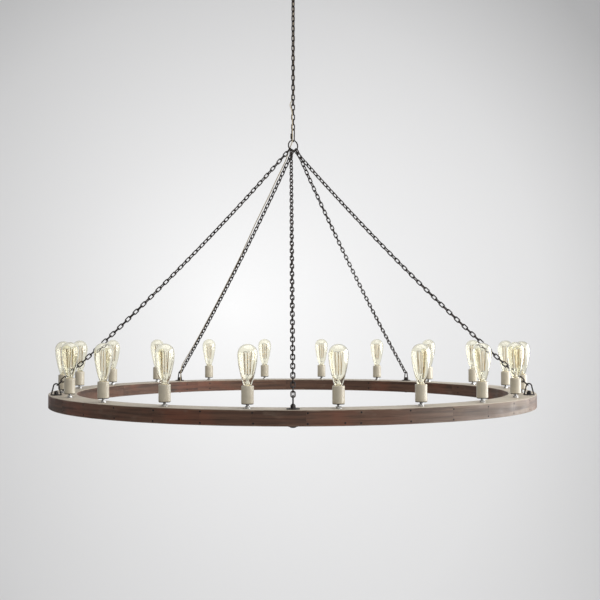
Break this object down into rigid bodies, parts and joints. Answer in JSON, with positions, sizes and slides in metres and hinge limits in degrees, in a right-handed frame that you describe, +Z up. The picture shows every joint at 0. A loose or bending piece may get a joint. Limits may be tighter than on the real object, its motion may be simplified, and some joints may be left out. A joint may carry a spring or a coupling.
{
  "type": "wagon wheel chandelier",
  "caption": "Wide flat wooden ring of upright filament bulbs in porcelain sockets, hung by side chains from a hub ring, quick link, chain and ceiling canopy.",
  "frame": {"origin": "middle of the ceiling mount, on the ceiling plane", "axes": "+Z up, away from the hanging wheel; -Y towards the viewer of the picture, at the front bracket; +X to the right"},
  "size_m": [1.828, 1.828, 1.6653],
  "materials": {
    "iron": "dark oil-rubbed",
    "bulb": "pale amber",
    "iron_hardware": "dark bronze",
    "steel": "zinc plated",
    "cord": "clear pale gold",
    "cover_wood": "rough",
    "wood": "dark weathered oil finish",
    "cable": "matte",
    "porcelain": "glazed porcelain",
    "brass": "plain",
    "nipple": "nickel plated"
  },
  "bodies": {
    "ceiling_fitting": {"ceiling_crossbar": "steel", "ceiling_nipple": "steel", "ceiling_locknut": "steel", "canopy": "iron_hardware", "canopy_loop": "iron_hardware", "collar_nut": "iron_hardware", "cord_ceiling": "cord"},
    "top_link": {"top_link": "iron"},
    "main_chain": {"main_chain": "iron", "cord_chain": "cord", "cord_top_bend": "cord"},
    "quick_link": {"quick_link": "iron"},
    "quick_link_sleeve": {"quick_link_sleeve": "iron"},
    "wheel": {"hub_ring": "iron", "front_chain": "iron", "right_chain": "iron", "back_right_chain": "iron", "back_left_chain": "iron", "left_chain": "iron", "bracket_plates": "iron", "bails": "iron", "bracket_bolts": "iron", "cap_nuts": "iron", "under_washers": "iron", "rim_blocks": "wood", "groove_covers": "cover_wood", "rim_wiring": "cable", "socket_nipples": "nipple", "socket_bodies": "porcelain", "socket_contacts": "brass", "cord_hub_bend": "cord", "cord_side": "cord"},
    "bulb_01": {"bulb_01": "bulb"},
    "bulb_02": {"bulb_02": "bulb"},
    "bulb_03": {"bulb_03": "bulb"},
    "bulb_04": {"bulb_04": "bulb"},
    "bulb_05": {"bulb_05": "bulb"},
    "bulb_06": {"bulb_06": "bulb"},
    "bulb_07": {"bulb_07": "bulb"},
    "bulb_08": {"bulb_08": "bulb"},
    "bulb_09": {"bulb_09": "bulb"},
    "bulb_10": {"bulb_10": "bulb"},
    "bulb_11": {"bulb_11": "bulb"},
    "bulb_12": {"bulb_12": "bulb"},
    "bulb_13": {"bulb_13": "bulb"},
    "bulb_14": {"bulb_14": "bulb"},
    "bulb_15": {"bulb_15": "bulb"},
    "bulb_16": {"bulb_16": "bulb"},
    "bulb_17": {"bulb_17": "bulb"},
    "bulb_18": {"bulb_18": "bulb"},
    "bulb_19": {"bulb_19": "bulb"},
    "bulb_20": {"bulb_20": "bulb"}
  },
  "joints": [
    {"name": "loop_swing", "type": "hinge", "parent": "ceiling_fitting", "child": "top_link", "pos_m": [0, 0, -0.0576], "axis": [0.7071, 0.7071, 0], "range_deg": [-25, 25]},
    {"name": "top_link_swing", "type": "hinge", "parent": "top_link", "child": "main_chain", "pos_m": [0, 0, -0.07675], "axis": [-0.7071, 0.7071, 0], "range_deg": [-25, 25], "deforming": ["cord_top_bend"]},
    {"name": "quick_link_swing", "type": "hinge", "parent": "main_chain", "child": "quick_link", "pos_m": [0, 0, -0.60055], "axis": [0.9511, 0.309, 0], "range_deg": [-20, 20]},
    {"name": "wheel_swing", "type": "hinge", "parent": "quick_link", "child": "wheel", "pos_m": [0, 0, -0.64535], "axis": [0.5592, -0.829, 0], "range_deg": [-20, 20], "deforming": ["cord_hub_bend"]},
    {"name": "sleeve_screw", "type": "slide", "parent": "quick_link", "child": "quick_link_sleeve", "axis": [0, 0, 1], "range_m": [0, 0.008]},
    {"name": "bulb_01_screw", "type": "slide", "parent": "wheel", "child": "bulb_01", "axis": [0, 0, 1], "range_m": [0, 0.025]},
    {"name": "bulb_02_screw", "type": "slide", "parent": "wheel", "child": "bulb_02", "axis": [0, 0, 1], "range_m": [0, 0.025]},
    {"name": "bulb_03_screw", "type": "slide", "parent": "wheel", "child": "bulb_03", "axis": [0, 0, 1], "range_m": [0, 0.025]},
    {"name": "bulb_04_screw", "type": "slide", "parent": "wheel", "child": "bulb_04", "axis": [0, 0, 1], "range_m": [0, 0.025]},
    {"name": "bulb_05_screw", "type": "slide", "parent": "wheel", "child": "bulb_05", "axis": [0, 0, 1], "range_m": [0, 0.025]},
    {"name": "bulb_06_screw", "type": "slide", "parent": "wheel", "child": "bulb_06", "axis": [0, 0, 1], "range_m": [0, 0.025]},
    {"name": "bulb_07_screw", "type": "slide", "parent": "wheel", "child": "bulb_07", "axis": [0, 0, 1], "range_m": [0, 0.025]},
    {"name": "bulb_08_screw", "type": "slide", "parent": "wheel", "child": "bulb_08", "axis": [0, 0, 1], "range_m": [0, 0.025]},
    {"name": "bulb_09_screw", "type": "slide", "parent": "wheel", "child": "bulb_09", "axis": [0, 0, 1], "range_m": [0, 0.025]},
    {"name": "bulb_10_screw", "type": "slide", "parent": "wheel", "child": "bulb_10", "axis": [0, 0, 1], "range_m": [0, 0.025]},
    {"name": "bulb_11_screw", "type": "slide", "parent": "wheel", "child": "bulb_11", "axis": [0, 0, 1], "range_m": [0, 0.025]},
    {"name": "bulb_12_screw", "type": "slide", "parent": "wheel", "child": "bulb_12", "axis": [0, 0, 1], "range_m": [0, 0.025]},
    {"name": "bulb_13_screw", "type": "slide", "parent": "wheel", "child": "bulb_13", "axis": [0, 0, 1], "range_m": [0, 0.025]},
    {"name": "bulb_14_screw", "type": "slide", "parent": "wheel", "child": "bulb_14", "axis": [0, 0, 1], "range_m": [0, 0.025]},
    {"name": "bulb_15_screw", "type": "slide", "parent": "wheel", "child": "bulb_15", "axis": [0, 0, 1], "range_m": [0, 0.025]},
    {"name": "bulb_16_screw", "type": "slide", "parent": "wheel", "child": "bulb_16", "axis": [0, 0, 1], "range_m": [0, 0.025]},
    {"name": "bulb_17_screw", "type": "slide", "parent": "wheel", "child": "bulb_17", "axis": [0, 0, 1], "range_m": [0, 0.025]},
    {"name": "bulb_18_screw", "type": "slide", "parent": "wheel", "child": "bulb_18", "axis": [0, 0, 1], "range_m": [0, 0.025]},
    {"name": "bulb_19_screw", "type": "slide", "parent": "wheel", "child": "bulb_19", "axis": [0, 0, 1], "range_m": [0, 0.025]},
    {"name": "bulb_20_screw", "type": "slide", "parent": "wheel", "child": "bulb_20", "axis": [0, 0, 1], "range_m": [0, 0.025]}
  ]
}
